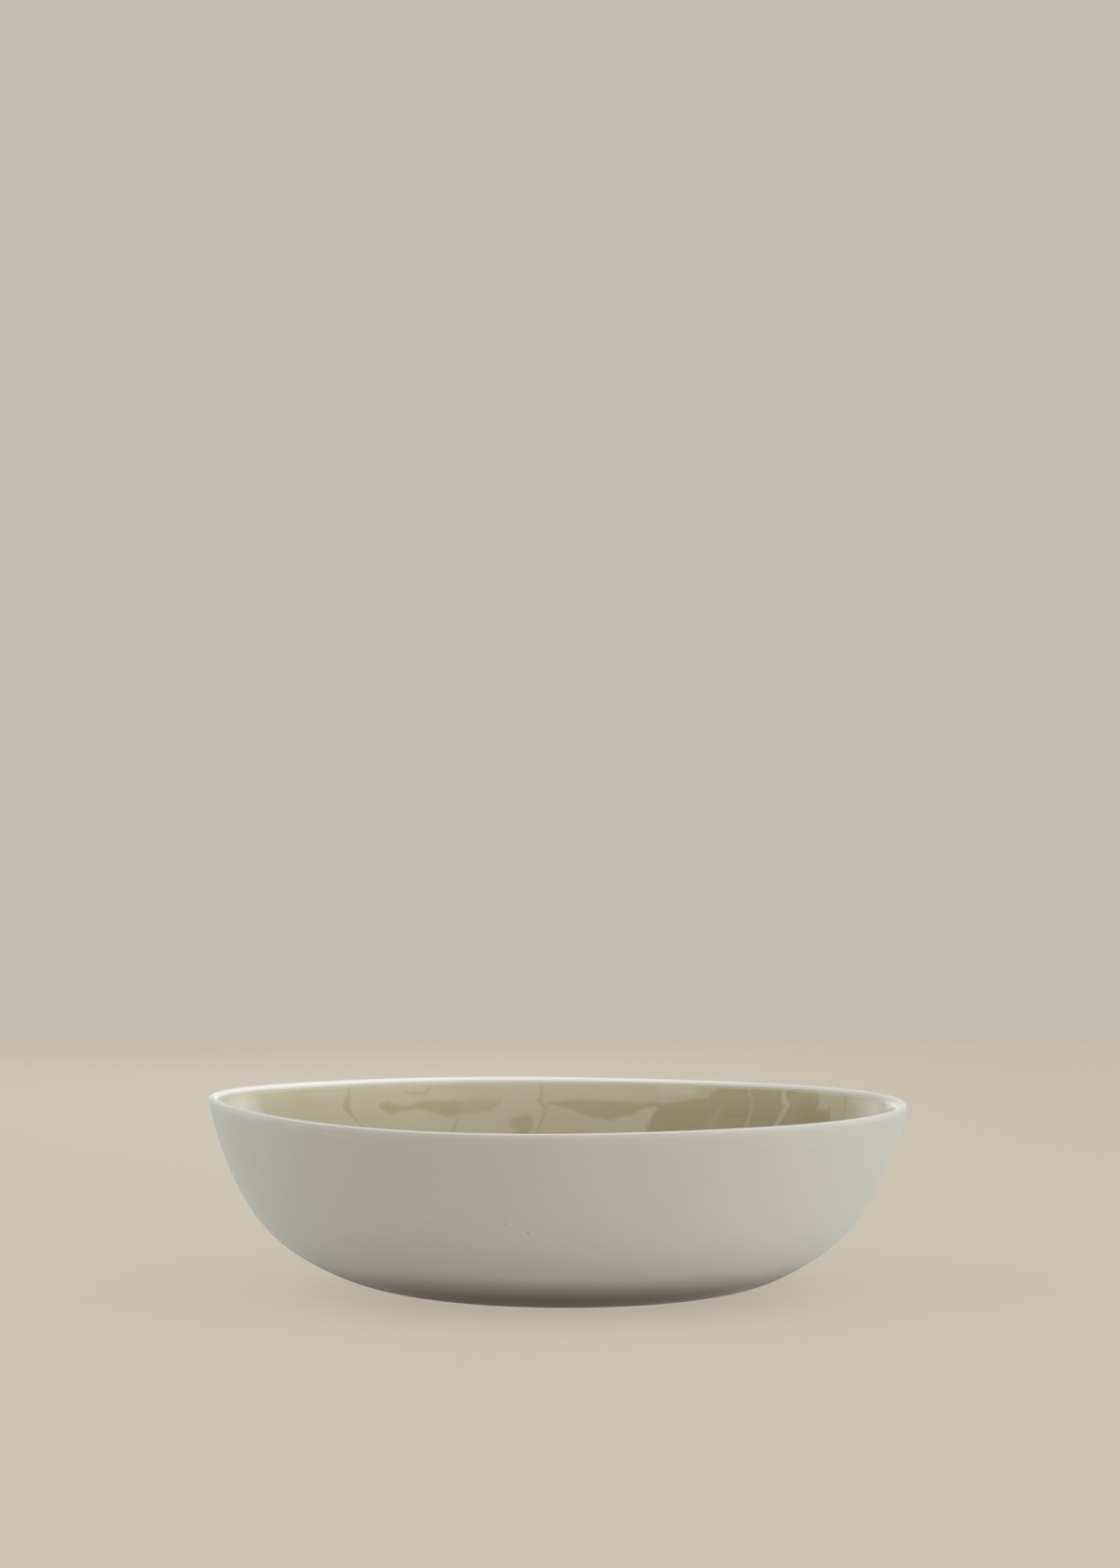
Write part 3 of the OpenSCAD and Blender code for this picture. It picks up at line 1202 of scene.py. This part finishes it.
@dataclass(frozen=True)
class Studio:
    """Plain pale floor and wall, soft lamps and the camera of the photograph.

    A glow is the share of a panel's own colour that the camera and reflections see unshaded.
    It lights nothing and softens the shadow on the panel.
    """

    camera_distance: float = 1.287
    camera_height: float = 0.160
    camera_side: float = 0.0007
    sensor_width: float = 36.0
    lens: float = 93.5
    floor_reach: float = 6.0
    wall_behind: float = 1.24
    wall_height: float = 4.0
    floor_colour: Colour = srgb(206, 197, 181)
    floor_glow: float = 0.72
    wall_colour: Colour = srgb(197, 193, 183)
    wall_glow: float = 0.8
    panel_roughness: float = 0.9
    panel_specular: float = 0.1
    sky: Colour = (1.018, 1.0, 1.017, 1.0)
    sky_strength: float = 0.9
    aim_height: float = 0.03
    lamps: tuple[Lamp, ...] = (
        Lamp("left_low", (-1.4, -0.3, 0.17), (1.3, 0.34), 0.3, (0.96, 1.01, 1.07)),
        Lamp("right_low", (1.4, -0.3, 0.17), (1.3, 0.34), 1.2, (0.94, 1.01, 1.14)),
        Lamp("front_right", (1.1, -1.5, 0.19), (1.2, 0.38), 3.0, (0.97, 1.0, 0.93)),
        Lamp("left_back", (-0.76, 0.84, 0.16), (0.9, 0.34), 0.15, (0.97, 1.0, 1.07)),
        Lamp("right_back", (0.68, 0.9, 0.16), (0.9, 0.34), 0.15, (0.96, 1.0, 1.08)),
        Lamp("left_rim", (-1.25, 0.45, 0.10), (0.8, 0.2), 1.9, (0.90, 1.02, 1.16)),
        Lamp("right_rim", (1.25, 0.45, 0.10), (0.8, 0.2), 1.5, (0.93, 1.02, 1.21)),
        Lamp("back_glow", (-0.13, 1.15, 0.07), (0.7, 0.14), 0.6, (0.97, 1.0, 1.06), 40),
    )

    def build(self) -> None:
        """Set up the camera, the floor, the wall and the light."""
        self.build_camera()
        self.build_backdrop()
        for lamp in self.lamps:
            lamp.build(Vector((0.0, 0.0, self.aim_height)))
        world = bpy.data.worlds.new("studio_light")
        world.use_nodes = True
        background = world.node_tree.nodes["Background"]
        background.inputs["Color"].default_value = self.sky
        background.inputs["Strength"].default_value = self.sky_strength
        bpy.context.scene.world = world
        bpy.context.scene.view_settings.view_transform = "Standard"

    def build_camera(self) -> None:
        """Make the camera: level, at the height that the lip's ellipse shows."""
        data = bpy.data.cameras.new("camera")
        data.sensor_width = self.sensor_width
        data.lens = self.lens
        camera = bpy.data.objects.new("camera", data)
        camera.location = (self.camera_side, -self.camera_distance, self.camera_height)
        camera.rotation_euler = (math.radians(90), 0.0, 0.0)
        bpy.context.scene.collection.objects.link(camera)
        bpy.context.scene.camera = camera

    def build_backdrop(self) -> None:
        """Make the floor and the wall behind it."""
        reach, back, top = self.floor_reach, self.wall_behind, self.wall_height
        self.panel("floor", self.floor_colour, [
            (-reach, -reach, 0.0), (reach, -reach, 0.0), (reach, back, 0.0), (-reach, back, 0.0),
        ], self.floor_glow)
        self.panel("wall", self.wall_colour, [
            (-reach, back, 0.0), (reach, back, 0.0), (reach, back, top), (-reach, back, top),
        ], self.wall_glow)

    def panel(self, name: str, colour: Colour, corners: list[Triple], glow: float) -> None:
        """Make one flat matte panel of the stage.

        Args:
            name: Name of the panel.
            colour: Its colour.
            corners: Its four corners in order.
            glow: Share of its colour that is seen unshaded.
        """
        bm = bmesh.new()
        bm.faces.new([bm.verts.new(corner) for corner in corners])
        mesh = bpy.data.meshes.new(name)
        bm.to_mesh(mesh)
        bm.free()
        material, sheet, shader = new_material(name)
        sheet.feed(shader, {
            "Base Color": colour,
            "Roughness": self.panel_roughness,
            "Specular IOR Level": self.panel_specular,
        })
        rays = sheet.add("ShaderNodeLightPath").outputs
        seen = sheet.math("MAXIMUM", rays["Is Camera Ray"], rays["Is Glossy Ray"])
        share = sheet.math("MULTIPLY", seen, glow)
        unshaded = sheet.add("ShaderNodeEmission", {"Color": colour}).outputs[0]
        both = sheet.add("ShaderNodeMixShader", {0: share, 1: shader.outputs[0], 2: unshaded})
        sheet.feed(sheet.tree.nodes["Material Output"], {"Surface": both.outputs[0]})
        mesh.materials.append(material)
        panel = bpy.data.objects.new(name, mesh)
        bpy.context.scene.collection.objects.link(panel)


def main() -> None:
    """Build the studio and the two pieces of the bowl."""
    logging.basicConfig(level=logging.INFO, format="%(name)s: %(message)s")
    Studio().build()
    form = BowlForm()
    pieces = (
        ClayBowl("clay_bowl", "clay_body", "clay", form=form),
        GlazeCoat("glaze_coat", "inner_glaze", "glaze", form=form),
    )
    for piece in pieces:
        piece.build()


if __name__ == "__main__":
    main()
